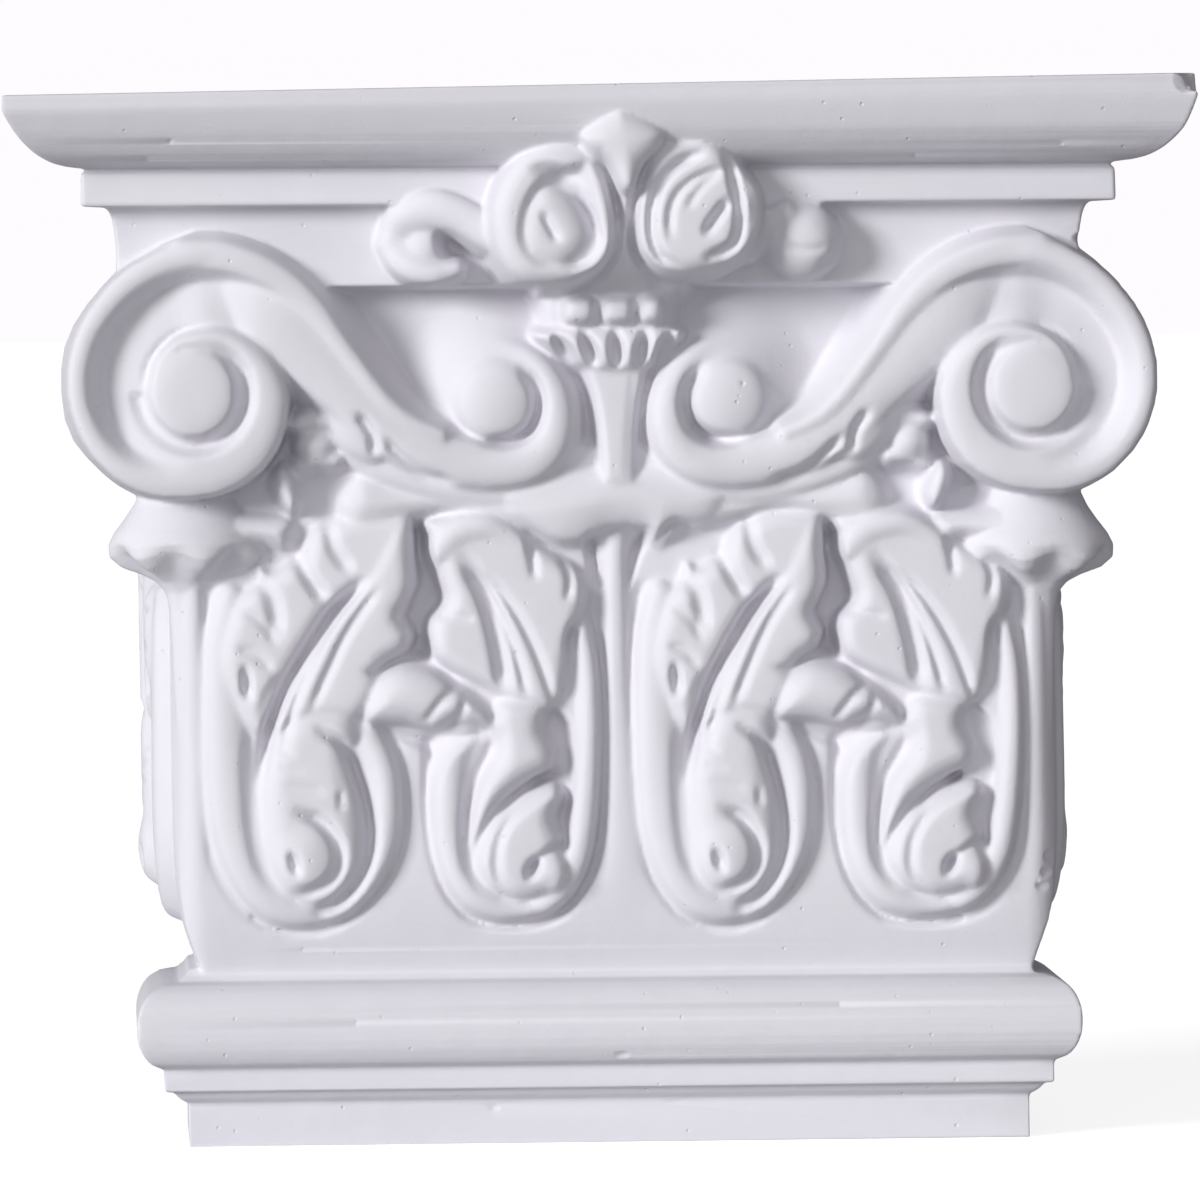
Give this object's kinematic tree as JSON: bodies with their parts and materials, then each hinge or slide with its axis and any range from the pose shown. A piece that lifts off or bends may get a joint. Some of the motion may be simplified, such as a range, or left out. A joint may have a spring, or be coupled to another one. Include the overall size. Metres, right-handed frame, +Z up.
{
  "type": "pilaster capital",
  "caption": "Cast plaster pilaster capital with scroll volutes, rosebuds and curled leaves between a torus base and a flat-topped abacus, moulded on the front and both returns, flat behind",
  "frame": {"origin": "middle of the plinth's underside", "axes": "+X along the width, to the right as seen from the front; +Y towards the wall that the flat back stands against, so the front faces -Y; +Z up, from the plinth to the abacus"},
  "size_m": [0.28, 0.087, 0.2494],
  "materials": {
    "plaster": "smooth matte cast plaster, white with a faint cool cast, a few pinholes and chips"
  },
  "bodies": {
    "root": {"pilaster_capital": "plaster"}
  },
  "joints": []
}
